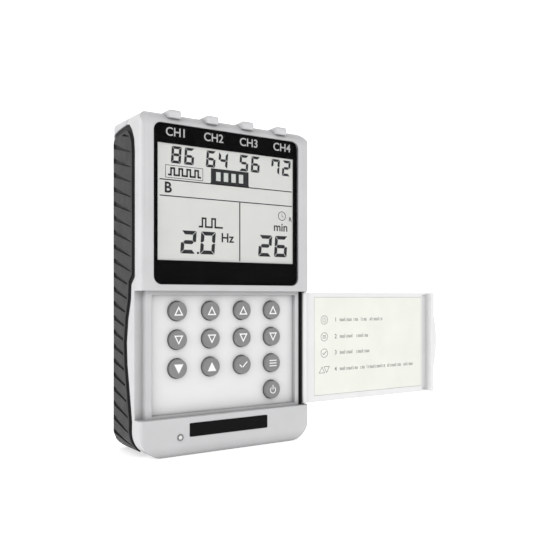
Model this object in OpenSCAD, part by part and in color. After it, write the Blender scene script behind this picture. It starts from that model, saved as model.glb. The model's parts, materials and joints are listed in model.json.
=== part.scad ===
// Hand-held four-channel nerve and muscle stimulator with a hinged keypad cover.
// Millimetres. X runs to the right, Y into the case, Z up. The origin is the centre of the base.
// The cover is drawn open, turned 180 degrees from its closed place over the keypad.

/* [Case] */
// Width of the case
case_width = 84; // [82:0.5:86]
// Height of the case
case_height = 142; // [140:0.5:144]
// Depth of the case
case_depth = 33; // [32.5:0.5:34]
// Thickness of the case walls
wall = 2; // [1.8:0.1:2.2]
// Depth of the joint between the shells, behind the front face
joint_depth = 14; // [13.5:0.5:14]
// Radius of the long edges at the back
back_radius = 7; // [6:0.5:8]
// Radius of the edges around the front face
front_radius = 1.6; // [1.2:0.1:2]
// Radius of the two top corners, seen from the front
top_corner = 6; // [5:0.5:7]
// Radius of the two bottom corners, seen from the front
bottom_corner = 11; // [10:0.5:12]

/* [Display] */
// Half the width of the black window
window_half_width = 36; // [35.8:0.1:36.4]
// Height of the window's bottom edge above the base
window_bottom = 71; // [70.8:0.1:72]
// Height of the window's top edge above the base
window_top = 137; // [136:0.5:137]
// Radius of the window's corners
window_corner = 3.5; // [3:0.5:4]
// Half the width of the visible LCD
lcd_half_width = 33.8; // [33:0.1:34]
// Height of the visible LCD's bottom edge
lcd_bottom = 81; // [80.8:0.1:82]
// Height of the visible LCD's top edge
lcd_top = 129; // [128:0.1:129.2]

/* [Keypad] */
// Height of the keypad recess's bottom edge
recess_bottom = 16; // [15.8:0.1:16.4]
// Height of the keypad recess's top edge
recess_top = 68.4; // [68.2:0.1:68.8]
// Diameter of a button
button_diameter = 8; // [7.6:0.1:8.2]
// Distance between the columns of buttons
column_pitch = 15.75; // [15.5:0.05:15.9]
// Distance between the rows of buttons
row_pitch = 12; // [11.8:0.1:12]
// Height of the top row of buttons
top_row = 60; // [59.5:0.1:60]
// How far a button can be pressed
button_travel = 0.8; // [0.6:0.1:0.8]

/* [Cover] */
// Length of the cover from its hinge axis to its free end
cover_length = 82; // [81:0.5:82]
// Thickness of the cover's plate
cover_thickness = 2; // [1.8:0.1:2]
// Radius of the hinge barrel
barrel_radius = 1.1; // [1.05:0.05:1.15]
// Radius of a hinge pin
pin_radius = 0.55; // [0.5:0.05:0.6]
// Clearance between a hinge pin and the barrel
pin_clearance = 0.05; // [0.04:0.01:0.08]

/* [Output sockets] */
// Radius of the socket bore, for a 2.5 mm lead plug
socket_radius = 1.28; // [1.26:0.01:1.32]
// Depth of the socket bore
socket_depth = 14; // [12:0.5:14]
// Distance between the sockets
socket_pitch = 17.67; // [17.4:0.01:17.8]

/* [Grips] */
// Height from one rib of the grips to the next
rib_pitch = 6.1; // [5.8:0.1:6.4]
// Width of the groove between two ribs, where it is widest
rib_groove = 3; // [2.4:0.1:3.2]
// How far the grips stand proud of the case
grip_proud = 0.3; // [0.2:0.1:0.4]

/* [Hidden] */

$fn = 48;
slip = 0.02;                  // between pieces fixed to each other
gap = 0.3;                    // between pieces that move past each other
past = 1;                     // how far a cut runs past the surface it opens

side = case_width / 2;
front = -case_depth / 2;
back = case_depth / 2;
joint = front + joint_depth;
inside_front = front + wall;
inside_back = back - wall;

// Display stack, from the front backwards
lens_front = front + 0.15;
lens_thickness = 0.95;
mask_thickness = 0.3;
mask_back = lens_front + lens_thickness + mask_thickness;
ledge_width = 1.2;
lcd_front = mask_back + 0.2;
lcd_thickness = 1.8;
lcd_margin = 0.8;
backlight_thickness = 1.4;
holder_back = -11.2;
holder_margin = 3.5;
holder_top_margin = 2.6;

// Keypad stack, from the front backwards
rim_face = front + 2.4;
panel_face = front + 4.5;
panel_thickness = 1.2;
panel_back = panel_face + panel_thickness;
panel_half_width = 35.7;
panel_bottom = recess_bottom + 1.2;
panel_top = recess_top - 1.7;
panel_ledge = 1;
tub_back = -9.2;
tub_margin = 3;
button_face = front + 2.5;
button_radius = button_diameter / 2;
flange_radius = button_radius + 0.7;
flange_front = panel_back + gap;
flange_back = flange_front + 0.8;
membrane_front = flange_back + button_travel + gap;
membrane_thickness = 0.8;
board_front = -7.2;
board_back = -5.6;
columns = [-1.5, -0.5, 0.5, 1.5];

// Cover, in its open place
hinge_x = side - 1.2;
hinge_y = front + 1.7;
cover_closed_back = front + cover_thickness;
cover_face = 2 * hinge_y - cover_closed_back;
cover_back = 2 * hinge_y - front;
cover_bottom = recess_bottom + 0.6;
cover_top = recess_top - 0.5;
cover_end = hinge_x + cover_length;
flange_height = 3;
lip_flange_thickness = 2.2;
finger_groove = 3.5;
finger_groove_floor = front + 5.5;
hinge_slot_left = hinge_x - 3.1;
strip_right = hinge_x - barrel_radius - gap - 0.05;
side_wall_floor = cover_back + 0.4;
lip_bulge = 1.75;
lip_half_height = 13;
lip_centre = (cover_bottom + cover_top) / 2 + 0.8;
pin_reach = 3.6;
pin_hold = 2.2;
label_left = hinge_x + 5.5;
label_right = hinge_x + 75.5;
label_top = cover_top - 2.2;
label_bottom = cover_bottom + 3;
label_thickness = 0.25;

// Top sockets
socket_columns = [-1.5, -0.5, 0.5, 1.5];
socket_y = -8;
collar_half_width = 2.6;
collar_bottom = case_height - 2.6;
collar_top = case_height + 0.85;
collar_proud = 0.25;
collar_lip_back = -12.4;
collar_back = -4.5;
flange_top = case_height + 0.4;
nose_radius = 1.85;
jack_radius = 3;
jack_bottom = 126;
socket_top = flange_top + 0.3;

// Chin
nameplate_left = -19.7;
nameplate_right = 18.8;
nameplate_bottom = 7.8;
nameplate_top = 13.3;
nameplate_pocket = 0.5;
indicator_x = -24.1;
indicator_z = 7.9;
indicator_ring_radius = 1.35;
indicator_lens_radius = 0.85;

// Grips: how deep the grip's front edge lies at each height
grip_inner_edge = side - 7.6;
grip_back_edge = 14.5;
grip_thickness = 1.4;
grip_band_width = 2.6;
grip_band_sink = 0.5;
rib_height = 0.7;
rib_tilt = 16.5;
rib_margin = 1;
groove_start = 5;
rib_count = 22;
first_rib = 2;
grip_front_edge = [
  [8.4, -2], [7.8, 15], [10.2, 26.5], [12.6, 38], [13.2, 47], [11.6, 57], [9, 64.5],
  [8.4, 71], [5, 74], [5, 125], [5.6, 130], [7.8, 134], [10.4, 136.6], [13.9, 137.4]
];
grip_top_back = 135.6;

// Battery bay and fastenings
bay_half_width = 30.5;
bay_bottom = 13;
bay_top = 66.5;
bay_wall = 1.2;
bay_floor = -2;
cell_radius = 7.15;
cell_length = 50;
cell_pitch = 14.7;
cell_y = 6.7;
screw_places = [[-16, 8], [16, 8], [-socket_pitch, 135], [socket_pitch, 135]];
screw_radius = 1.1;
screw_head_radius = 2.2;
screw_head_back = back - 1.5;
screw_head_height = 1.6;
boss_radius = 2.9;
board_screw_places = [[-33, 72], [33, 72], [-33, 118], [33, 118]];

// A rounded rectangle with true arcs and one radius for each pair of corners
module rounded(left, right, bottom, top, low_radius, high_radius) {
  translate([left + low_radius, bottom]) square([right - left - 2 * low_radius, low_radius]);
  translate([left, bottom + low_radius]) square([right - left, top - bottom - low_radius - high_radius]);
  translate([left + high_radius, top - high_radius]) square([right - left - 2 * high_radius, high_radius]);
  for (x = [left + low_radius, right - low_radius]) translate([x, bottom + low_radius]) circle(low_radius);
  for (x = [left + high_radius, right - high_radius]) translate([x, top - high_radius]) circle(high_radius);
}

// Stands a front-view outline up and gives it depth, from y0 back to y1
module slab(y0, y1) {
  translate([0, y1, 0]) rotate([90, 0, 0]) linear_extrude(y1 - y0) children();
}

module block(x0, x1, y0, y1, z0, z1) {
  translate([x0, y0, z0]) cube([x1 - x0, y1 - y0, z1 - z0]);
}

// A round rod along Y
module rod(x, z, radius, y0, y1) {
  translate([x, y1, z]) rotate([90, 0, 0]) cylinder(r = radius, h = y1 - y0);
}

// The case's outer form, drawn in by an inset
module case_form(inset) {
  intersection() {
    slab(front + inset, back - inset)
      rounded(-side + inset, side - inset, inset, case_height - inset,
        bottom_corner - inset, top_corner - inset);
    linear_extrude(case_height)
      rounded(-side + inset, side - inset, front + inset, back - inset,
        max(front_radius - inset, 0.4), back_radius - inset);
    translate([-side - past, 0, 0]) rotate([90, 0, 90]) linear_extrude(case_width + 2 * past)
      rounded(front + inset, back - inset, inset, case_height - inset,
        max(front_radius - inset, 0.4), back_radius - inset);
  }
}

// The same form drawn out, for the grips
module grown_form(growth) {
  intersection() {
    slab(front - growth, back + growth)
      rounded(-side - growth, side + growth, -growth, case_height + growth,
        bottom_corner + growth, top_corner + growth);
    translate([0, 0, -past]) linear_extrude(case_height + 2 * past)
      rounded(-side - growth, side + growth, front - growth, back + growth,
        front_radius + growth, back_radius + growth);
  }
}

// Outline of the left grip seen from the side, drawn out by a margin
module grip_outline(margin) {
  offset(delta = margin) polygon(concat(
    [for (p = grip_front_edge) [front + p[0], p[1]]],
    [[6, grip_top_back + 1], [11, grip_top_back], [grip_back_edge, grip_top_back - 2.5], [grip_back_edge, -2]]
  ));
}

module grip_prism(margin) {
  translate([-side - past, 0, 0]) rotate([90, 0, 90])
    linear_extrude(past + side - grip_inner_edge + margin) grip_outline(margin);
}

module grip_pocket() {
  difference() {
    grip_prism(slip);
    case_form(grip_thickness);
  }
}

// The grooves between the ribs are wedges that drop towards the front and end inside the raised pad
module grooves() {
  intersection() {
    for (i = [0 : rib_count])
      translate([-side - past, front + groove_start, first_rib + i * rib_pitch]) rotate([rib_tilt, 0, 0])
        rotate([90, 0, 90]) linear_extrude(side - grip_inner_edge + 2 * past)
          polygon([[0, 0], [case_depth, rib_groove / 2], [case_depth, -rib_groove / 2]]);
    grip_prism(-grip_band_width - rib_margin);
  }
}

// A raised, ribbed pad inside a sunk band that runs around the edge
module grip() {
  color([0.2, 0.2, 0.21]) difference() {
    union() {
      intersection() {
        grown_form(-grip_band_sink);
        grip_prism(0);
      }
      difference() {
        intersection() {
          grown_form(grip_proud);
          grip_prism(-grip_band_width);
        }
        difference() {
          grooves();
          grown_form(grip_proud - rib_height);
        }
      }
    }
    case_form(grip_thickness);
  }
}

module left_grip() {
  grip();
}

module right_grip() {
  mirror([1, 0, 0]) grip();
}

function button_x(column) = columns[column] * column_pitch;
function button_z(row) = top_row - row * row_pitch;

// Where the buttons are: the column and row of each
button_places = [
  [0, 0], [1, 0], [2, 0], [3, 0],
  [0, 1], [1, 1], [2, 1], [3, 1],
  [0, 2], [1, 2], [2, 2], [3, 2],
  [3, 3]
];

module at_buttons() {
  for (p = button_places) translate([button_x(p[0]), 0, button_z(p[1])]) children();
}

module recess_cuts() {
  block(-side - past, side + past, front - past, rim_face, recess_bottom, recess_top);
  block(-side - past, -side + finger_groove, front - past, finger_groove_floor, recess_bottom, recess_top);
  block(hinge_slot_left, side + past, front - past, side_wall_floor, recess_bottom, recess_top);
  block(-panel_half_width - slip, panel_half_width + slip, front, panel_back + slip,
    panel_bottom - slip, panel_top + slip);
  block(-panel_half_width + panel_ledge, panel_half_width - panel_ledge, front, 0,
    panel_bottom + panel_ledge, panel_top - panel_ledge);
}

module window_cuts() {
  slab(front - past, mask_back)
    rounded(-window_half_width, window_half_width, window_bottom, window_top, window_corner, window_corner);
  slab(front - past, inside_front + 0.05)
    rounded(-window_half_width + ledge_width, window_half_width - ledge_width,
      window_bottom + ledge_width, window_top - ledge_width, window_corner - 1, window_corner - 1);
}

module collar_notches() {
  for (c = socket_columns)
    block(c * socket_pitch - collar_half_width - 0.1, c * socket_pitch + collar_half_width + 0.1,
      front - past, collar_back + 0.1, collar_bottom, case_height + past);
}

module front_shell() {
  color([0.8, 0.8, 0.81]) difference() {
    union() {
      difference() {
        case_form(0);
        case_form(wall);
        block(-side - past, side + past, joint, back + past, -past, case_height + past);
      }
      intersection() {
        case_form(0);
        block(-side, side, front, tub_back, recess_bottom - tub_margin, recess_top + tub_margin);
      }
      for (p = screw_places) rod(p[0], p[1], boss_radius, inside_front - 0.1, joint);
    }
    recess_cuts();
    window_cuts();
    collar_notches();
    grip_pocket();
    mirror([1, 0, 0]) grip_pocket();
    for (p = screw_places) rod(p[0], p[1], screw_radius - 0.15 + slip, inside_front + 2.5, joint + past);
    for (c = socket_columns)
      translate([c * socket_pitch, socket_y, collar_bottom - wall]) cylinder(r = nose_radius + 0.1, h = 2 * wall);
    slab(front - past, front + nameplate_pocket)
      rounded(nameplate_left - 0.1, nameplate_right + 0.1, nameplate_bottom - 0.1, nameplate_top + 0.1, 0.5, 0.5);
    rod(indicator_x, indicator_z, indicator_ring_radius + slip, front - past, inside_front + past);
    translate([hinge_x, hinge_y, recess_bottom - pin_hold])
      cylinder(r = pin_radius + slip, h = recess_top - recess_bottom + 2 * pin_hold);
  }
}

module bay_walls() {
  block(-bay_half_width - bay_wall, bay_half_width + bay_wall, bay_floor, inside_back + 0.2,
    bay_bottom - bay_wall, bay_top + bay_wall);
}

module bay_space() {
  block(-bay_half_width, bay_half_width, bay_floor + bay_wall, back + past, bay_bottom, bay_top);
}

module rear_shell() {
  color([0.72, 0.72, 0.73]) difference() {
    union() {
      difference() {
        case_form(0);
        case_form(wall);
        block(-side - past, side + past, front - past, joint, -past, case_height + past);
        // Shadow line around the joint
        difference() {
          block(-side - past, side + past, joint - past, joint + 0.4, -past, case_height + past);
          case_form(0.6);
        }
      }
      bay_walls();
      for (p = screw_places) rod(p[0], p[1], boss_radius, joint, inside_back + 0.1);
    }
    bay_space();
    grip_pocket();
    mirror([1, 0, 0]) grip_pocket();
    for (p = screw_places) {
      rod(p[0], p[1], screw_radius + slip, joint - past, back);
      rod(p[0], p[1], screw_head_radius + 0.2, screw_head_back - screw_head_height, back + past);
    }
  }
}

module display_lens() {
  color([0.1, 0.1, 0.11]) slab(lens_front, lens_front + lens_thickness)
    rounded(-window_half_width + slip, window_half_width - slip, window_bottom + slip, window_top - slip,
      window_corner, window_corner);
}

module display_mask() {
  color([0.03, 0.03, 0.03]) difference() {
    slab(mask_back - mask_thickness, mask_back)
      rounded(-window_half_width + slip, window_half_width - slip, window_bottom + slip, window_top - slip,
        window_corner, window_corner);
    block(-lcd_half_width, lcd_half_width, mask_back - past, mask_back + past, lcd_bottom, lcd_top);
  }
}

module lcd_plate(y0, y1) {
  block(-lcd_half_width - lcd_margin, lcd_half_width + lcd_margin, y0, y1,
    lcd_bottom - lcd_margin, lcd_top + lcd_margin);
}

module lcd_panel() {
  color([0.88, 0.9, 0.87]) lcd_plate(lcd_front, lcd_front + lcd_thickness);
}

module lcd_backlight() {
  color([0.95, 0.95, 0.95]) lcd_plate(lcd_front + lcd_thickness + slip,
    lcd_front + lcd_thickness + backlight_thickness);
}

module lcd_holder() {
  color([0.9, 0.9, 0.88]) difference() {
    block(-lcd_half_width - holder_margin, lcd_half_width + holder_margin, inside_front + 0.1, holder_back,
      lcd_bottom - holder_margin, lcd_top + holder_top_margin);
    lcd_room();
  }
}

module lcd_room() {
  block(-lcd_half_width - lcd_margin - 0.1, lcd_half_width + lcd_margin + 0.1, front, 0,
    lcd_bottom - lcd_margin - 0.1, lcd_top + lcd_margin + 0.1);
}

module lcd_connector() {
  color([0.85, 0.6, 0.3])
    block(-28, 28, lcd_front + lcd_thickness + backlight_thickness + slip, board_front - slip, 84, 87);
}

module keypad_panel() {
  color([0.9, 0.9, 0.9]) difference() {
    block(-panel_half_width, panel_half_width, panel_face, panel_back, panel_bottom, panel_top);
    at_buttons() rod(0, 0, button_radius + gap, panel_face - past, panel_back + past);
  }
}

module keypad_membrane() {
  color([0.75, 0.75, 0.78])
    block(-33, 33, membrane_front, membrane_front + membrane_thickness, panel_bottom + 1, panel_top - 1);
}

module dome_contacts() {
  color([0.8, 0.8, 0.75]) at_buttons() rod(0, 0, 2.6, board_front - 0.4, board_front - slip);
}

module main_circuit_board() {
  color([0.1, 0.35, 0.2]) difference() {
    block(-36.5, 36.5, board_front, board_back, 12, 122);
    for (p = board_screw_places) rod(p[0], p[1], 1.1, board_front - past, board_back + past);
  }
}

module pulse_transformers() {
  color([0.75, 0.65, 0.2]) for (c = socket_columns) {
    block(c * socket_pitch - 6.5, c * socket_pitch + 6.5, board_back + slip, board_back + 6, 78, 90);
    block(c * socket_pitch - 4, c * socket_pitch + 4, board_back + slip, board_back + 9, 80, 88);
  }
}

module microcontroller() {
  color([0.1, 0.1, 0.1]) block(-6, 6, board_back + slip, board_back + 1.5, 98, 110);
}

module buzzer() {
  color([0.08, 0.08, 0.08]) difference() {
    rod(-22, 106, 6, board_back + slip, board_back + 6);
    rod(-22, 106, 1.2, board_back + 5, board_back + 7);
  }
}

module output_jack(place) {
  color([0.75, 0.75, 0.77]) translate([socket_columns[place] * socket_pitch, socket_y, 0]) difference() {
    union() {
      translate([0, 0, jack_bottom]) cylinder(r = jack_radius, h = collar_bottom - wall - jack_bottom);
      translate([0, 0, jack_bottom]) cylinder(r = nose_radius, h = socket_top - jack_bottom);
    }
    translate([0, 0, socket_top - socket_depth]) cylinder(r = socket_radius, h = socket_depth + past);
  }
}

module output_jack_1() {
  output_jack(0);
}

module output_jack_2() {
  output_jack(1);
}

module output_jack_3() {
  output_jack(2);
}

module output_jack_4() {
  output_jack(3);
}

// A lip on the case's front edge, with a low flange behind it round the socket's nose
module jack_collar(place) {
  color([0.78, 0.78, 0.79]) translate([socket_columns[place] * socket_pitch, 0, 0]) difference() {
    union() {
      intersection() {
        slab(front - collar_proud, collar_lip_back)
          rounded(-collar_half_width, collar_half_width, collar_bottom + slip, collar_top, 0.3, 0.8);
        translate([-collar_half_width - past, 0, 0]) rotate([90, 0, 90])
          linear_extrude(2 * collar_half_width + 2 * past)
            rounded(front - collar_proud, collar_lip_back, collar_bottom - past, collar_top, 0.4, 1.4);
      }
      block(-collar_half_width, collar_half_width, collar_lip_back - past, collar_back, collar_bottom + slip,
        flange_top);
    }
    translate([0, socket_y, collar_bottom - past])
      cylinder(r = nose_radius + slip, h = collar_top - collar_bottom + 2 * past);
  }
}

module jack_collar_1() {
  jack_collar(0);
}

module jack_collar_2() {
  jack_collar(1);
}

module jack_collar_3() {
  jack_collar(2);
}

module jack_collar_4() {
  jack_collar(3);
}

module nameplate() {
  color([0.05, 0.05, 0.05]) slab(front - 0.1, front + nameplate_pocket - slip)
    rounded(nameplate_left, nameplate_right, nameplate_bottom, nameplate_top, 0.4, 0.4);
}

module indicator_ring() {
  color([0.5, 0.5, 0.5]) difference() {
    rod(indicator_x, indicator_z, indicator_ring_radius, front - 0.2, inside_front);
    rod(indicator_x, indicator_z, indicator_lens_radius + slip, front - past, inside_front + past);
  }
}

module indicator_lens() {
  color([0.9, 0.9, 0.88]) rod(indicator_x, indicator_z, indicator_lens_radius, front - 0.1, inside_front);
}

module indicator_led() {
  color([0.9, 0.4, 0.3]) rod(indicator_x, indicator_z, 1.5, inside_front + slip, -10);
}

// The cover's finger lip: a shallow arc on the free end
module lip_outline() {
  lip_radius = (lip_half_height * lip_half_height + lip_bulge * lip_bulge) / (2 * lip_bulge);
  intersection() {
    translate([cover_end + lip_bulge - lip_radius, lip_centre]) circle(lip_radius, $fn = 160);
    translate([cover_end - 1, cover_bottom]) square([1 + lip_bulge, cover_top - cover_bottom]);
  }
}

module keypad_cover() {
  color([0.93, 0.93, 0.93]) difference() {
    union() {
      block(hinge_x, cover_end, cover_face, cover_back, cover_bottom, cover_top);
      translate([hinge_x, hinge_y, cover_bottom]) cylinder(r = barrel_radius, h = cover_top - cover_bottom);
      block(cover_end - lip_flange_thickness, cover_end, cover_face - flange_height, cover_back,
        cover_bottom, cover_top);
      slab(cover_face - flange_height, cover_face - 0.4) lip_outline();
    }
    // Bore for the hinge pins
    translate([hinge_x, hinge_y, cover_bottom - past])
      cylinder(r = pin_radius + pin_clearance, h = cover_top - cover_bottom + 2 * past);
    // Pocket for the label
    block(label_left - 0.1, label_right + 0.1, cover_face - past, cover_face + label_thickness,
      label_bottom - 0.1, label_top + 0.1);
    // Groove beside the flange
    block(label_right + 1, cover_end - lip_flange_thickness - 0.6, cover_face - past, cover_face + 0.5,
      cover_bottom + 1, cover_top - 1);
  }
}

module cover_label() {
  color([0.94, 0.94, 0.9])
    block(label_left, label_right, cover_face, cover_face + label_thickness - slip, label_bottom, label_top);
}

// The dark strip that fills the gap between the keypad's rim and the hinge
module hinge_strip() {
  color([0.06, 0.06, 0.06]) block(hinge_slot_left + slip, strip_right, rim_face, side_wall_floor - slip,
    recess_bottom + 0.1, recess_top - 0.1);
}

module hinge_pin(z0, z1) {
  color([0.7, 0.7, 0.72]) translate([hinge_x, hinge_y, z0]) cylinder(r = pin_radius, h = z1 - z0);
}

module hinge_pin_upper() {
  hinge_pin(recess_top - pin_reach, recess_top + pin_hold);
}

module hinge_pin_lower() {
  hinge_pin(recess_bottom - pin_hold, recess_bottom + pin_reach);
}

// A round button with a softened edge and a flange that keeps it in the panel
module button(place) {
  edge = 0.4;
  height = flange_front - button_face;
  color([0.5, 0.5, 0.51])
    translate([button_x(button_places[place][0]), flange_front, button_z(button_places[place][1])])
      rotate([90, 0, 0]) {
        rotate_extrude() {
          square([button_radius, height - edge]);
          square([button_radius - edge, height]);
          intersection() {
            translate([button_radius - edge, height - edge]) circle(edge);
            square([button_radius, height]);
          }
        }
        translate([0, 0, flange_front - flange_back]) cylinder(r = flange_radius, h = flange_back - flange_front);
      }
}

module battery_door() {
  color([0.7, 0.7, 0.71]) difference() {
    union() {
      block(-bay_half_width + gap, bay_half_width - gap, inside_back + 0.2, back, bay_bottom + gap, bay_top - gap);
      for (i = [0 : 4]) block(-9, 9, back - 0.5, back + 0.3, 50 + i * 2.4, 51 + i * 2.4);
    }
    block(-12, 12, back - 0.6, back + past, 62.4, 64.4);
  }
}

module battery_cells() {
  color([0.2, 0.25, 0.5]) for (c = columns) translate([c * cell_pitch, cell_y, bay_bottom + 1.7]) {
    cylinder(r = cell_radius, h = cell_length - 1);
    cylinder(r = 2.7, h = cell_length);
  }
}

module battery_contacts() {
  color([0.8, 0.8, 0.8]) for (c = columns) {
    block(c * cell_pitch - 4, c * cell_pitch + 4, cell_y - 4, cell_y + 4, bay_bottom + slip, bay_bottom + 1.6);
    block(c * cell_pitch - 4, c * cell_pitch + 4, cell_y - 4, cell_y + 4, bay_bottom + 1.8 + cell_length,
      bay_top - slip);
  }
}

module case_screws() {
  color([0.6, 0.6, 0.62]) for (p = screw_places) {
    rod(p[0], p[1], screw_radius - 0.15, inside_front + 3, screw_head_back - 0.5);
    difference() {
      rod(p[0], p[1], screw_head_radius, screw_head_back - screw_head_height, screw_head_back);
      block(p[0] - 1.4, p[0] + 1.4, screw_head_back - 0.6, back, p[1] - 0.3, p[1] + 0.3);
      block(p[0] - 0.3, p[0] + 0.3, screw_head_back - 0.6, back, p[1] - 1.4, p[1] + 1.4);
    }
  }
}

module board_screws() {
  color([0.6, 0.6, 0.62]) for (p = board_screw_places) {
    rod(p[0], p[1], 1, board_front - 1.5, board_back + 1);
    rod(p[0], p[1], 2, board_back + slip, board_back + 1);
  }
}

front_shell();
rear_shell();
left_grip();
right_grip();
display_lens();
display_mask();
lcd_panel();
lcd_backlight();
lcd_holder();
lcd_connector();
keypad_panel();
keypad_membrane();
dome_contacts();
main_circuit_board();
pulse_transformers();
microcontroller();
buzzer();
output_jack_1();
output_jack_2();
output_jack_3();
output_jack_4();
jack_collar_1();
jack_collar_2();
jack_collar_3();
jack_collar_4();
nameplate();
indicator_ring();
indicator_lens();
indicator_led();
keypad_cover();
cover_label();
hinge_strip();
hinge_pin_upper();
hinge_pin_lower();
button(0);  // button_up_1
button(1);  // button_up_2
button(2);  // button_up_3
button(3);  // button_up_4
button(4);  // button_down_1
button(5);  // button_down_2
button(6);  // button_down_3
button(7);  // button_down_4
button(8);  // button_decrease
button(9);  // button_increase
button(10);  // button_set
button(11);  // button_mode
button(12);  // button_power
battery_door();
battery_cells();
battery_contacts();
case_screws();
board_screws();
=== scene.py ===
import json
import math
import bpy
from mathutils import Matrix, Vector


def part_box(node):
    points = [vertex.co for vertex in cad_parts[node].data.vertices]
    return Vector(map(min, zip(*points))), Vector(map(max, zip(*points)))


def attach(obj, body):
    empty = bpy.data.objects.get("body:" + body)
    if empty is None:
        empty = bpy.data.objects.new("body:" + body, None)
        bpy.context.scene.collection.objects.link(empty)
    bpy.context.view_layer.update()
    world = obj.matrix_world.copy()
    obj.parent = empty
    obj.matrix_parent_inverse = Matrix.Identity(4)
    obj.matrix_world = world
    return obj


# Looks of a hand-held four-channel stimulator. Metres, in the CAD's frame; layouts are in mm.
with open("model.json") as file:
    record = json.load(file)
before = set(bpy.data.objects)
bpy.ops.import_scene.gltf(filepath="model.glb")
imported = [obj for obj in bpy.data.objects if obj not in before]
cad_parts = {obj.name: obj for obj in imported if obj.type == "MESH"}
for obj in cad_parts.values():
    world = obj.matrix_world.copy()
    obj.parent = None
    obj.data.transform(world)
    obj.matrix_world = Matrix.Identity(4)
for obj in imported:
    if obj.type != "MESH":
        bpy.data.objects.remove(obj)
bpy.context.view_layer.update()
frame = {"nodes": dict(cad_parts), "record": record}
nodes = frame["nodes"]
MM = 0.001
SKIN = 0.02 * MM          # thickness of printed ink
BUTTONS = [name for name in nodes if name.startswith("button_")]


def box_mm(node):
    low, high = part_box(node)
    return low / MM, high / MM


# The case and the round corners of its form, in mm
case_high = box_mm("front_shell")[1]
HALF_WIDTH, HEIGHT = case_high.x, case_high.z
HALF_DEPTH = box_mm("rear_shell")[1].y
BOTTOM_ROUND, TOP_ROUND, BACK_ROUND = 11, 6, 7
# The soft step round the display: its place below the top and in from the sides, its corner and its size
CREASE_DOWN, CREASE_IN, CREASE_ROUND, CREASE_STEP, CREASE_HALF_SPAN = 2.6, 3, 3.4, 0.28, 0.75
CREASE_FADES_FROM, CREASE_FADES_TO = 108, 84


# Materials

def node_tree(name):
    material = bpy.data.materials.new(name)
    material.use_nodes = True
    tree = material.node_tree
    tree.nodes.clear()
    output = tree.nodes.new("ShaderNodeOutputMaterial")
    return material, tree, output


def join(tree, source, target):
    tree.links.new(source, target)


def noise(tree, place, scale, detail=3.0, roughness=0.55):
    texture = tree.nodes.new("ShaderNodeTexNoise")
    texture.inputs["Scale"].default_value = scale
    texture.inputs["Detail"].default_value = detail
    texture.inputs["Roughness"].default_value = roughness
    join(tree, place, texture.inputs["Vector"])
    return texture.outputs["Fac"]


def spread(tree, source, low, high, from_low=0.3, from_high=0.7):
    ramp = tree.nodes.new("ShaderNodeMapRange")
    ramp.inputs["From Min"].default_value = from_low
    ramp.inputs["From Max"].default_value = from_high
    ramp.inputs["To Min"].default_value = low
    ramp.inputs["To Max"].default_value = high
    join(tree, source, ramp.inputs["Value"])
    return ramp.outputs["Result"]


def blend_colours(tree, amount, first, second):
    mix = tree.nodes.new("ShaderNodeMix")
    mix.data_type = "RGBA"
    join(tree, amount, mix.inputs["Factor"])
    for socket, value in ((mix.inputs["A"], first), (mix.inputs["B"], second)):
        if isinstance(value, tuple):
            socket.default_value = (*value, 1)
        else:
            join(tree, value, socket)
    return mix.outputs["Result"]


def shade(colour, factor):
    return tuple(min(1.0, c * factor) for c in colour)


def calculate(tree, operation, first, second=0.0):
    """One maths node; its inputs are sockets or numbers."""
    step = tree.nodes.new("ShaderNodeMath")
    step.operation = operation
    for socket, value in zip(step.inputs, (first, second)):
        if isinstance(value, (int, float)):
            socket.default_value = value
        else:
            join(tree, value, socket)
    return step.outputs[0]


def axes_in_mm(tree, coords):
    scale = tree.nodes.new("ShaderNodeVectorMath")
    scale.operation = "SCALE"
    scale.inputs["Scale"].default_value = 1 / MM
    join(tree, coords, scale.inputs[0])
    split = tree.nodes.new("ShaderNodeSeparateXYZ")
    join(tree, scale.outputs["Vector"], split.inputs[0])
    return split.outputs


def length_of(tree, first, second):
    squares = [calculate(tree, "MULTIPLY", side, side) for side in (first, second)]
    return calculate(tree, "SQRT", calculate(tree, "ADD", *squares))


def corner_distance(tree, across, along, centre_across, centre_along, radius, sign):
    """How far a point stands out from a rounded edge, in mm. sign says on which side the round begins."""
    past = calculate(tree, "SUBTRACT", along, centre_along)
    past = calculate(tree, "MAXIMUM" if sign > 0 else "MINIMUM", past, 0.0)
    out = length_of(tree, calculate(tree, "SUBTRACT", across, centre_across), past)
    return calculate(tree, "SUBTRACT", out, radius)


def grip_painted_shade_places(tree, coords):
    """Where shade is painted on the grip: 0 on its raised pads, 1 in its grooves and on the sunk band round
    it.
    """
    axes = axes_in_mm(tree, coords)
    across = calculate(tree, "ABSOLUTE", axes["X"])
    low = corner_distance(tree, across, axes["Z"], HALF_WIDTH - BOTTOM_ROUND, BOTTOM_ROUND, BOTTOM_ROUND, -1)
    high = corner_distance(tree, across, axes["Z"], HALF_WIDTH - TOP_ROUND, HEIGHT - TOP_ROUND, TOP_ROUND, 1)
    behind = corner_distance(tree, across, axes["Y"], HALF_WIDTH - BACK_ROUND, HALF_DEPTH - BACK_ROUND,
                             BACK_ROUND, 1)
    stands = calculate(tree, "MAXIMUM", calculate(tree, "MAXIMUM", low, high), behind)
    return spread(tree, stands, 1, 0, -0.25, 0.1)


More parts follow.
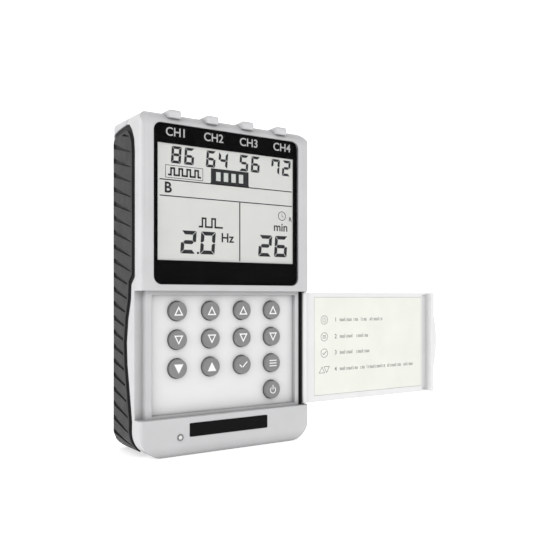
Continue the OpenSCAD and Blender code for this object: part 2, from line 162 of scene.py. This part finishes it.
def display_crease(tree, coords):
    """The height in mm of a soft step along a rounded rectangle, which fades out downwards."""
    axes = axes_in_mm(tree, coords)
    across = calculate(tree, "SUBTRACT", calculate(tree, "ABSOLUTE", axes["X"]),
                       HALF_WIDTH - CREASE_IN - CREASE_ROUND)
    up = calculate(tree, "SUBTRACT", axes["Z"], HEIGHT - CREASE_DOWN - CREASE_ROUND)
    past_corner = [calculate(tree, "MAXIMUM", side, 0.0) for side in (across, up)]
    out = calculate(tree, "SUBTRACT", length_of(tree, *past_corner), CREASE_ROUND)
    step = spread(tree, out, CREASE_STEP, 0.0, -CREASE_HALF_SPAN, CREASE_HALF_SPAN)
    return calculate(tree, "MULTIPLY", step,
                     spread(tree, axes["Z"], 0.0, 1.0, CREASE_FADES_TO, CREASE_FADES_FROM))


def paint_shade_in_hollows(tree, colours, hollow_shade, reach):
    """Paints shade into hollows: multiplies the colours by a grey that falls to the given shade level where
    nearby faces close a point in.
    """
    closed = tree.nodes.new("ShaderNodeAmbientOcclusion")
    closed.samples = 4
    closed.inputs["Distance"].default_value = reach * MM
    level = spread(tree, closed.outputs["AO"], hollow_shade, 1.0, 0.35, 0.95)
    grey = tree.nodes.new("ShaderNodeCombineColor")
    for channel in ("Red", "Green", "Blue"):
        join(tree, level, grey.inputs[channel])
    shaded = tree.nodes.new("ShaderNodeMix")
    shaded.data_type = "RGBA"
    shaded.blend_type = "MULTIPLY"
    shaded.inputs["Factor"].default_value = 1.0
    join(tree, colours, shaded.inputs["A"])
    join(tree, grey.outputs["Color"], shaded.inputs["B"])
    return shaded.outputs["Result"]


def raised(tree, height, strength, distance, normal):
    """The normal of a surface that is raised by a height."""
    bump = tree.nodes.new("ShaderNodeBump")
    bump.inputs["Strength"].default_value = strength
    bump.inputs["Distance"].default_value = distance
    join(tree, height, bump.inputs["Height"])
    join(tree, normal, bump.inputs["Normal"])
    return bump.outputs["Normal"]


def moulded(name, colour, rough=0.5, grain=0.25, depth=0.012, variety=0.03, edge=0.3, wear=1.08,
            gloss=0.5, metal=0.0, painted_glow=0.0, hollow_shade=0.75, reach=3.0, painted_shade_places=None, painted_shade_colour=None,
            relief=None):
    """A moulded or turned surface: colour drift, fine grain, softened and slightly worn edges, and painted
    shade in its hollows. Sizes in mm. The hollows' shade level is how dark their painted shade gets and
    reach how far it spreads. The shade places mask says where its darker colour is painted in as shade,
    emission is painted light in the surface's own colour, and relief is a height in mm."""
    material, tree, output = node_tree(name)
    coords = tree.nodes.new("ShaderNodeTexCoord").outputs["Object"]
    drift = noise(tree, coords, 1 / (14 * MM), 2)
    fine = noise(tree, coords, 1 / (grain * MM), 3)
    base = blend_colours(tree, spread(tree, drift, 0, 1), shade(colour, 1 - variety),
                         shade(colour, 1 + variety))
    # Painted shade: the masked places take the darker colour.
    if painted_shade_places:
        base = blend_colours(tree, painted_shade_places(tree, coords), base, painted_shade_colour)
    bevel = tree.nodes.new("ShaderNodeBevel")
    bevel.samples = 4
    bevel.inputs["Radius"].default_value = edge * MM
    flat = tree.nodes.new("ShaderNodeNewGeometry").outputs["Normal"]
    dot = tree.nodes.new("ShaderNodeVectorMath")
    dot.operation = "DOT_PRODUCT"
    join(tree, bevel.outputs["Normal"], dot.inputs[0])
    join(tree, flat, dot.inputs[1])
    worn = spread(tree, dot.outputs["Value"], 0.6, 0, 0.75, 0.97)
    colours = blend_colours(tree, worn, base, shade(colour, wear))
    # Painted shade: ambient occlusion darkens the colour in hollows.
    if hollow_shade < 1:
        colours = paint_shade_in_hollows(tree, colours, hollow_shade, reach)
    normal = bevel.outputs["Normal"]
    if relief:
        normal = raised(tree, relief(tree, coords), 1.0, MM, normal)
    normal = raised(tree, fine, 0.35, depth * MM, normal)
    shader = tree.nodes.new("ShaderNodeBsdfPrincipled")
    shader.inputs["Metallic"].default_value = metal
    shader.inputs["Specular IOR Level"].default_value = gloss
    join(tree, colours, shader.inputs["Base Color"])
    smears = spread(tree, noise(tree, coords, 1 / (5 * MM)), rough * 0.9, rough * 1.12)
    join(tree, smears, shader.inputs["Roughness"])
    join(tree, normal, shader.inputs["Normal"])
    # Painted light: the surface gives off light in its own colour, though it is no lamp.
    if painted_glow:
        join(tree, colours, shader.inputs["Emission Color"])
        shader.inputs["Emission Strength"].default_value = painted_glow
    join(tree, shader.outputs["BSDF"], output.inputs["Surface"])
    return material


def clear_lens(name):
    """A clear window: seen through, with a soft sheen and a few faint wipe marks."""
    material, tree, output = node_tree(name)
    coords = tree.nodes.new("ShaderNodeTexCoord").outputs["Object"]
    shader = tree.nodes.new("ShaderNodeBsdfGlossy")
    join(tree, spread(tree, noise(tree, coords, 1 / (9 * MM)), 0.12, 0.24), shader.inputs["Roughness"])
    through = tree.nodes.new("ShaderNodeBsdfTransparent")
    through.inputs["Color"].default_value = (0.98, 0.98, 0.98, 1)
    fresnel = tree.nodes.new("ShaderNodeFresnel")
    fresnel.inputs["IOR"].default_value = 1.33
    mix = tree.nodes.new("ShaderNodeMixShader")
    join(tree, spread(tree, fresnel.outputs["Fac"], 0.0, 0.12, 0.01, 0.6), mix.inputs["Fac"])
    join(tree, through.outputs["BSDF"], mix.inputs[1])
    join(tree, shader.outputs["BSDF"], mix.inputs[2])
    join(tree, mix.outputs["Shader"], output.inputs["Surface"])
    return material


SHELL_GREY = (0.545, 0.545, 0.552)
REAR_GREY = (0.52, 0.52, 0.53)
# Shade levels below 1 paint shade into hollows, and the looks that give off light are painted light.
LOOKS = {
    "shell": moulded("shell_plastic", SHELL_GREY, rough=0.42, edge=0.6, wear=1.12, hollow_shade=0.5, reach=5.0,
                     relief=display_crease),
    "rear": moulded("rear_plastic", REAR_GREY, rough=0.45, edge=0.6, wear=1.12),
    "collar": moulded("collar_plastic", (0.58, 0.58, 0.59), rough=0.45, edge=0.25),
    # The grip's grooves and the sunk band at its edge are painted near-black as shade.
    "grip": moulded("grip_rubber", (0.032, 0.032, 0.033), rough=0.6, grain=0.35, depth=0.03, variety=0.08,
                    edge=0.35, wear=1.9, gloss=0.35, painted_shade_places=grip_painted_shade_places,
                    painted_shade_colour=(0.008, 0.008, 0.008)),
    "lens": clear_lens("window_lens"),
    "window_black": moulded("window_black", (0.0025, 0.0025, 0.0028), rough=0.3, depth=0.002, edge=0.1,
                            wear=1.0, gloss=0.04, hollow_shade=1),
    # The LCD gives off a little painted light, to stay bright inside its recess.
    "lcd": moulded("lcd_glass", (0.74, 0.75, 0.725), rough=0.35, grain=0.6, depth=0.001, variety=0.03,
                   edge=0.1, wear=1.0, gloss=0.3, painted_glow=0.1, hollow_shade=0.85),
    "backlight": moulded("backlight_plastic", (0.85, 0.86, 0.84), rough=0.4),
    "inner_plastic": moulded("inner_plastic", (0.72, 0.72, 0.70), rough=0.5),
    "rubber_strip": moulded("rubber_strip", (0.55, 0.33, 0.2), rough=0.6),
    "panel": moulded("panel_plastic", (0.76, 0.76, 0.765), rough=0.5, variety=0.015, edge=0.25, wear=1.05,
                     hollow_shade=0.6, reach=6.0),
    "silicone": moulded("silicone_mat", (0.45, 0.45, 0.47), rough=0.6),
    "steel": moulded("steel", (0.62, 0.62, 0.64), rough=0.3, metal=1.0, edge=0.15),
    "spring_steel": moulded("spring_steel", (0.66, 0.66, 0.67), rough=0.28, metal=1.0, edge=0.15),
    "jack_metal": moulded("jack_metal", (0.66, 0.66, 0.68), rough=0.22, metal=1.0, edge=0.12),
    "board": moulded("board_laminate", (0.03, 0.16, 0.07), rough=0.4, variety=0.1),
    "transformer": moulded("transformer_tape", (0.6, 0.45, 0.1), rough=0.45, variety=0.08),
    "chip": moulded("chip_black", (0.02, 0.02, 0.02), rough=0.5),
    "nameplate": moulded("nameplate_black", (0.003, 0.003, 0.003), rough=0.4, edge=0.15, wear=1.0,
                         gloss=0.08),
    "indicator_grey": moulded("indicator_grey", (0.19, 0.19, 0.19), rough=0.4, edge=0.1),
    "indicator_clear": moulded("indicator_clear", (0.75, 0.75, 0.74), rough=0.2, edge=0.1, depth=0.002),
    "led": moulded("led_body", (0.6, 0.12, 0.1), rough=0.2),
    "cover": moulded("cover_plastic", (0.76, 0.76, 0.765), rough=0.4, variety=0.012, edge=0.35, wear=1.05,
                     hollow_shade=0.62, reach=4.0),
    "label": moulded("label_paper", (0.79, 0.80, 0.74), rough=0.6, grain=0.4, depth=0.004, variety=0.025,
                     edge=0.1, wear=1.0, gloss=0.3),
    "cell": moulded("cell_wrap", (0.05, 0.09, 0.25), rough=0.35, variety=0.06),
    "button": moulded("button_rubber", (0.21, 0.21, 0.212), rough=0.5, edge=0.4, wear=1.25, hollow_shade=0.8,
                      reach=1.5),
}
INK_WHITE = moulded("ink_white", (0.86, 0.86, 0.86), rough=0.5, edge=0.05, depth=0.002)
INK_LABEL = moulded("ink_label_grey", (0.03, 0.03, 0.03), rough=0.6, edge=0.05, depth=0.002, variety=0.2)
# The channel marks behind the window give off a little painted light.
INK_WINDOW = moulded("ink_window", (0.55, 0.55, 0.55), rough=0.5, edge=0.05, depth=0.002, painted_glow=0.15)
SEGMENT = moulded("lcd_segment", (0.005, 0.007, 0.010), rough=0.5, edge=0.05, depth=0.002, variety=0.15)
# The pale bars give off a little painted light, to match the LCD.
SEGMENT_PALE = moulded("lcd_segment_pale", (0.74, 0.77, 0.74), rough=0.5, edge=0.05, depth=0.002, painted_glow=0.1)

for part in frame["record"]["subparts"]:
    holder = nodes[part["node"]]
    for material_slot in holder.material_slots:
        material_slot.material = LOOKS.get(part["material_slot"], LOOKS["shell"])


# Flat printed shapes: outlines in mm on a plane of constant y, facing the viewer

def arc(x, z, radius, start, end, steps):
    angles = [math.radians(start + (end - start) * i / steps) for i in range(steps + 1)]
    return [(x + radius * math.cos(a), z + radius * math.sin(a)) for a in angles]


def ring(x, z, radius, width, start=0, end=360, steps=32):
    outer = arc(x, z, radius, start, end, steps)
    inner = arc(x, z, radius - width, start, end, steps)
    return [[outer[i], outer[i + 1], inner[i + 1], inner[i]] for i in range(steps)]


def bar(x0, z0, x1, z1):
    return [(x0, z0), (x1, z0), (x1, z1), (x0, z1)]


def stroke(points, width):
    quads = []
    for (x0, z0), (x1, z1) in zip(points, points[1:]):
        along = Vector((x1 - x0, z1 - z0)).normalized() * width / 2
        side = Vector((-along.y, along.x))
        corners = [(x0, z0, -along + side), (x0, z0, -along - side),
                   (x1, z1, along - side), (x1, z1, along + side)]
        quads.append([(x + v.x, z + v.y) for x, z, v in corners])
    return quads


def triangle(x, z, half_width, height, up):
    rise = height / 2 if up else -height / 2
    return [(x - half_width, z - rise), (x + half_width, z - rise), (x, z + rise)]


def outline_triangle(x, z, half_width, height, width, up):
    """A triangle drawn as a band of the given width, inside its outer corners."""
    outer = triangle(x, z, half_width, height, up)
    slant = math.hypot(half_width, height)
    inner_radius = half_width * height / (half_width + slant)
    centre_z = outer[0][1] + (inner_radius if up else -inner_radius)
    share = 1 - width / inner_radius
    inner = [(x + (px - x) * share, centre_z + (pz - centre_z) * share) for px, pz in outer]
    return [[outer[i], outer[(i + 1) % 3], inner[(i + 1) % 3], inner[i]] for i in range(3)]


LIT = {
    "0": "abcdef", "2": "abged", "4": "fgbc", "5": "afgcd", "6": "afgedc", "7": "fabc", "8": "abcdefg",
}


def seven_segment(digit, x, z, width, height, thick, lean=0.07):
    """The lit segments of one digit. x and z are its lower left corner."""
    gap = thick * 0.14
    half = height / 2
    t = thick
    m = t / 2
    shapes = {
        "a": [(gap, height), (width - gap, height), (width - t - gap / 2, height - t),
              (t + gap / 2, height - t)],
        "d": [(gap, 0), (width - gap, 0), (width - t - gap / 2, t), (t + gap / 2, t)],
        "g": [(m + gap, half), (t + gap, half + m), (width - t - gap, half + m), (width - m - gap, half),
              (width - t - gap, half - m), (t + gap, half - m)],
        "b": [(width, height - gap), (width, half + gap), (width - m, half + gap / 2), (width - t, half + m),
              (width - t, height - t - gap / 2)],
        "c": [(width, gap), (width, half - gap), (width - m, half - gap / 2), (width - t, half - m),
              (width - t, t + gap / 2)],
        "f": [(0, height - gap), (0, half + gap), (m, half + gap / 2), (t, half + m),
              (t, height - t - gap / 2)],
        "e": [(0, gap), (0, half - gap), (m, half - gap / 2), (t, half - m), (t, t + gap / 2)],
    }
    return [[(x + px + lean * pz, z + pz) for px, pz in shapes[s]] for s in LIT[digit]]


def number(text, x, z, width, height, thick, pitch):
    shapes = []
    for i, digit in enumerate(text):
        shapes += seven_segment(digit, x + i * pitch, z, width, height, thick)
    return shapes


def inked(name, body, shapes, y, material):
    """Makes one piece of thin printed solids from outlines in mm; y is the front of the ink, in mm."""
    vertices, faces = [], []
    back = y + SKIN / MM
    for outline in shapes:
        area = sum(a[0] * b[1] - b[0] * a[1] for a, b in zip(outline, outline[1:] + outline[:1]))
        points = list(outline) if area > 0 else list(reversed(outline))
        first, count = len(vertices), len(points)
        vertices += [(x * MM, y * MM, z * MM) for x, z in points]
        vertices += [(x * MM, back * MM, z * MM) for x, z in points]
        faces.append([first + i for i in range(count)])
        faces.append([first + count + i for i in reversed(range(count))])
        for i in range(count):
            j = (i + 1) % count
            faces.append([first + j, first + i, first + count + i, first + count + j])
    mesh = bpy.data.meshes.new(name)
    mesh.from_pydata(vertices, [], faces)
    mesh.update()
    piece = bpy.data.objects.new(name, mesh)
    bpy.context.collection.objects.link(piece)
    piece.data.materials.append(material)
    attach(piece, body)
    return piece


def lettered(name, body, text, x, z, height, y, material, weight=0.0):
    """A short generic mark in the built-in letters, centred on x and z; sizes in mm."""
    curve = bpy.data.curves.new(name + "_curve", "FONT")
    curve.body = text
    curve.size = height * MM / 0.7
    curve.align_x = "CENTER"
    curve.align_y = "CENTER"
    curve.extrude = SKIN / 2
    curve.offset = weight * MM
    curve.resolution_u = 4
    writer = bpy.data.objects.new(name + "_writer", curve)
    bpy.context.collection.objects.link(writer)
    mesh = bpy.data.meshes.new_from_object(writer.evaluated_get(bpy.context.evaluated_depsgraph_get()))
    bpy.data.objects.remove(writer)
    mesh.name = name
    piece = bpy.data.objects.new(name, mesh)
    piece.rotation_euler = (math.radians(90), 0, 0)
    piece.location = (x * MM, y * MM, z * MM)
    bpy.context.collection.objects.link(piece)
    piece.data.materials.clear()
    piece.data.materials.append(material)
    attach(piece, body)
    return piece


def placed(shapes, x, z):
    """The outlines moved by x and z."""
    return [[(x + px, z + pz) for px, pz in outline] for outline in shapes]


# The picture on the LCD, laid out from the middle of its lower edge
lcd_low, lcd_high = box_mm("lcd_panel")
lcd_x, lcd_z = (lcd_low.x + lcd_high.x) / 2, lcd_low.z
ink_y = lcd_low.y - 0.03
READINGS = (("86", -22.3), ("64", -6.0), ("56", 10.5), ("72", 27.2))
READING_Z, READING_HEIGHT = 40.9, 7.1
RULES = (33.9, 27.25)          # two lines across the picture
BOX_LEFT, BOX_RIGHT, BOX_LOW, BOX_HIGH, BOX_LINE = -30.2, -12.7, 34.7, 40.02, 0.22
TAB_LEFT, TAB_RIGHT, TAB_HIGH = -8.9, 10.0, 40.6
BIG_Z, BIG_HEIGHT, BIG_THICK = 3.8, 9.6, 1.6
PULSE_LOW, PULSE_HIGH, RATE_LOW, RATE_HIGH, PULSE_LINE = 36.0, 38.8, 15.4, 19.0, 0.75
CLOCK_X, CLOCK_Z = 27.9, 22.5
shapes = []
for text, centre in READINGS:
    shapes += number(text, centre - 5.4, READING_Z, 4.5, READING_HEIGHT, 1.15, 6.0)
for height in RULES:
    shapes.append(bar(-32.7, height - 0.22, 33.4, height + 0.22))
shapes.append(bar(5.2, 1.4, 5.75, RULES[1]))
shapes += [bar(BOX_LEFT, BOX_LOW, BOX_RIGHT, BOX_LOW + BOX_LINE),
           bar(BOX_LEFT, BOX_HIGH - BOX_LINE, BOX_RIGHT, BOX_HIGH),
           bar(BOX_LEFT, BOX_LOW, BOX_LEFT + BOX_LINE, BOX_HIGH),
           bar(BOX_RIGHT - BOX_LINE, BOX_LOW, BOX_RIGHT, BOX_HIGH)]
shapes.append([(TAB_LEFT - 0.5, RULES[0]), (TAB_LEFT, BOX_LOW), (TAB_LEFT, TAB_HIGH), (TAB_RIGHT, TAB_HIGH),
               (TAB_RIGHT, BOX_LOW), (TAB_RIGHT + 0.5, RULES[0])])
shapes += number("2", -23.4, BIG_Z, 7.0, BIG_HEIGHT, BIG_THICK, 0)
shapes += number("0", -14.2, BIG_Z, 7.0, BIG_HEIGHT, BIG_THICK, 0)
shapes.append(bar(-15.6, BIG_Z, -14.6, BIG_Z + 0.9))
shapes += number("26", 15.0, BIG_Z, 6.9, BIG_HEIGHT, BIG_THICK, 8.5)
shapes += ring(CLOCK_X, CLOCK_Z, 2.1, 0.3)
shapes += stroke([(CLOCK_X, CLOCK_Z + 1), (CLOCK_X, CLOCK_Z - 0.1), (CLOCK_X + 0.7, CLOCK_Z - 0.5)], 0.22)
# A pulse train stands in the outlined box
pulse = [(-28.6, PULSE_LOW)]
for i in range(4):
    left = -27.6 + i * 3.7
    pulse += [(left, PULSE_LOW), (left, PULSE_HIGH), (left + 1.5, PULSE_HIGH), (left + 1.5, PULSE_LOW)]
pulse.append((-14.0, PULSE_LOW))
shapes += stroke(pulse, PULSE_LINE)
# A rate mark over the frequency
rate = [(-14.4, RATE_LOW)]
for left, right in ((-13.0, -11.4), (-8.4, -6.8)):
    rate += [(left, RATE_LOW), (left, RATE_HIGH), (right, RATE_HIGH), (right, RATE_LOW)]
rate.append((-3.4, RATE_LOW))
shapes += stroke(rate, PULSE_LINE)
inked("lcd_picture", "body", placed(shapes, lcd_x, lcd_z), ink_y, SEGMENT)
pale = [bar(left, 35.4, left + 2.2, 39.2) for left in (-6.4, -2.6, 1.2, 5.0)]
inked("lcd_pale_bars", "body", placed(pale, lcd_x, lcd_z), ink_y - 0.02, SEGMENT_PALE)
LCD_LETTERS = (
    ("lcd_program_letter", "B", -29.0, 30.5, 4.3, 0.16),
    ("lcd_hertz", "Hz", -0.8, 11.0, 3.9, 0.1),
    ("lcd_minutes", "min", 27.2, 17.2, 3.7, 0.08),
    ("lcd_repeat", "R", 32.5, 21.1, 1.9, 0.04),
)
for name, text, x, z, height, weight in LCD_LETTERS:
    lettered(name, "body", text, lcd_x + x, lcd_z + z, height, ink_y, SEGMENT, weight)

# Channel marks printed behind the window
mask_low, mask_high = box_mm("display_mask")
for channel in range(1, 5):
    jack_low, jack_high = box_mm(f"output_jack_{channel}")
    lettered(f"channel_mark_{channel}", "body", f"CH{channel}", (jack_low.x + jack_high.x) / 2 + 1.0,
             mask_high.z - 3.38, 3.5, mask_low.y - 0.03, INK_WINDOW, 0.06)


# Legends on the buttons
def button_legend(name, x, z):
    thin = 0.5
    if name.startswith("button_up"):
        return outline_triangle(x, z + 0.1, 2.1, 3.9, thin, True)
    if name.startswith("button_down"):
        return outline_triangle(x, z - 0.1, 2.1, 3.9, thin, False)
    if name == "button_decrease":
        return [triangle(x, z - 0.1, 2.1, 3.9, False)]
    if name == "button_increase":
        return [triangle(x, z + 0.1, 2.1, 3.9, True)]
    if name == "button_power":
        return ring(x, z - 0.2, 1.6, 0.4, 125, 415, 24) + stroke([(x, z + 0.2), (x, z + 1.9)], 0.4)
    if name == "button_set":
        return stroke([(x - 1.7, z), (x - 0.5, z - 1.2), (x + 1.8, z + 1.2)], 0.5)
    return [bar(x - 1.9, z + s - 0.22, x + 1.9, z + s + 0.22) for s in (-1.2, 0, 1.2)]


for name in BUTTONS:
    low, high = box_mm(name)
    centre_x, centre_z = (low.x + high.x) / 2, (low.z + high.z) / 2
    inked(name + "_legend", name, button_legend(name, centre_x, centre_z), low.y - SKIN / MM / 2, INK_WHITE)

# The label inside the cover: four symbols, each with a numeral and rows of small bars in place of words
label_low, label_high = box_mm("cover_label")
label_y = label_low.y - SKIN / MM / 2
ICON_X = label_low.x + 5.9
LINE_X = label_low.x + 12.2
STEP_HEIGHTS = [label_low.z + rise for rise in (35.4, 27.4, 19.7, 11.8)]
STEP_WORDS = ((7.6, 3.6, 4.6, 9.0), (9.4, 7.6), (9.4, 9.0), (12.0, 3.0, 12.6, 10.2, 7.4))
label_shapes = []


def plain_word(x, z, length, start):
    """A row of small bars that stands for a word and says nothing."""
    pitch, low, high, thick = 0.95, -0.75, 0.5, 0.2
    marks = []
    for i in range(int(length / pitch)):
        left = x + i * pitch
        kind = (start + i * 2) % 5
        top = high + (0.55 if kind == 1 else 0)
        marks.append(bar(left, z + low, left + thick, z + top))
        if kind in (0, 2, 4):
            marks.append(bar(left + 0.45, z + low, left + 0.45 + thick, z + high))
        if kind in (0, 3):
            marks.append(bar(left + thick, z + high - thick, left + 0.45, z + high))
        if kind in (2, 3):
            marks.append(bar(left + thick, z + low, left + 0.45, z + low + thick))
    return marks


for place, (height, words) in enumerate(zip(STEP_HEIGHTS, STEP_WORDS)):
    if place < 3:
        label_shapes += ring(ICON_X, height, 2.1, 0.2)
    x = LINE_X + 3.2
    for word, length in enumerate(words):
        label_shapes += plain_word(x, height, length, place * 5 + word * 3)
        x += length + 1.1
    lettered(f"label_numeral_{place + 1}", "cover", str(place + 1), LINE_X + 0.6, height, 2.0, label_y,
             INK_LABEL)
power_z, mode_z, set_z, value_z = STEP_HEIGHTS
label_shapes += ring(ICON_X, power_z, 1.1, 0.18, 125, 415, 16)
label_shapes += stroke([(ICON_X, power_z + 0.3), (ICON_X, power_z + 1.3)], 0.2)
label_shapes += [bar(ICON_X - 1.0, mode_z + s - 0.1, ICON_X + 1.0, mode_z + s + 0.1) for s in (-0.6, 0, 0.6)]
tick = [(ICON_X - 1.0, set_z), (ICON_X - 0.3, set_z - 0.7), (ICON_X + 1.1, set_z + 0.8)]
label_shapes += stroke(tick, 0.25)
label_shapes += outline_triangle(ICON_X - 1.4, value_z, 1.8, 3.1, 0.2, True)
label_shapes += outline_triangle(ICON_X + 1.4, value_z, 1.8, 3.1, 0.2, False)
inked("label_print", "cover", label_shapes, label_y, INK_LABEL)


# Stage, light and camera
def studio_floor():
    """A pale sweep: a flat floor that curves up into a backdrop well behind the object."""
    half, front_edge, bend, radius, top = 6.0, -3.0, 3.0, 1.5, 4.0
    profile = [(front_edge, 0.0), (bend, 0.0)]
    profile += [(bend + radius * math.sin(a), radius - radius * math.cos(a))
                for a in (math.radians(d) for d in range(10, 91, 10))]
    profile.append((bend + radius, top))
    turn = math.radians(34)
    vertices = []
    for s in (-half, half):
        vertices += [(s * math.cos(turn) + y * math.sin(turn), -s * math.sin(turn) + y * math.cos(turn), z)
                     for y, z in profile]
    count = len(profile)
    faces = [(i, i + 1, count + i + 1, count + i) for i in range(count - 1)]
    mesh = bpy.data.meshes.new("studio_floor")
    mesh.from_pydata(vertices, [], faces)
    mesh.update()
    floor = bpy.data.objects.new("studio_floor", mesh)
    bpy.context.collection.objects.link(floor)
    material, tree, output = node_tree("studio_floor")
    coords = tree.nodes.new("ShaderNodeTexCoord").outputs["Object"]
    shader = tree.nodes.new("ShaderNodeBsdfPrincipled")
    shader.inputs["Roughness"].default_value = 0.9
    shader.inputs["Specular IOR Level"].default_value = 0.1
    patches = spread(tree, noise(tree, coords, 3), 0, 1)
    tint = blend_colours(tree, patches, (0.93, 0.93, 0.93), (0.95, 0.95, 0.95))
    join(tree, tint, shader.inputs["Base Color"])
    shader.inputs["Emission Color"].default_value = (1, 1, 1, 1)
    shader.inputs["Emission Strength"].default_value = 0.5
    join(tree, shader.outputs["BSDF"], output.inputs["Surface"])
    floor.data.materials.append(material)


def soft_light(name, place, target, size, power):
    lamp = bpy.data.lights.new(name, "AREA")
    lamp.shape = "SQUARE"
    lamp.size = size
    lamp.energy = power
    holder = bpy.data.objects.new(name, lamp)
    bpy.context.collection.objects.link(holder)
    holder.location = place
    holder.rotation_euler = (Vector(target) - Vector(place)).to_track_quat("-Z", "Y").to_euler()


studio_floor()
CENTRE = (0.02, 0, 0.07)
soft_light("left_softbox", (-0.95, -0.15, 0.35), CENTRE, 0.7, 3.6)
soft_light("front_softbox", (-0.25, -1.1, 0.75), CENTRE, 0.9, 2.6)
soft_light("right_fill", (0.9, -0.5, 0.6), CENTRE, 0.8, 0.8)
soft_light("back_fill", (0.2, 1.0, 0.7), CENTRE, 0.8, 1.0)
world = bpy.data.worlds.new("studio")
world.use_nodes = True
world.node_tree.nodes["Background"].inputs["Color"].default_value = (1, 1, 1, 1)
world.node_tree.nodes["Background"].inputs["Strength"].default_value = 0.62
bpy.context.scene.world = world
bpy.context.scene.view_settings.view_transform = "Standard"

AZIMUTH = math.radians(34.13)
camera_data = bpy.data.cameras.new("camera")
camera_data.lens = 46.68
camera_data.shift_y = 0.0407
camera_data.clip_start = 0.01
camera = bpy.data.objects.new("camera", camera_data)
camera.location = (-0.15682, -0.28181, 0.06572)
camera.rotation_euler = (math.radians(90), 0, -AZIMUTH)
bpy.context.collection.objects.link(camera)
bpy.context.scene.camera = camera
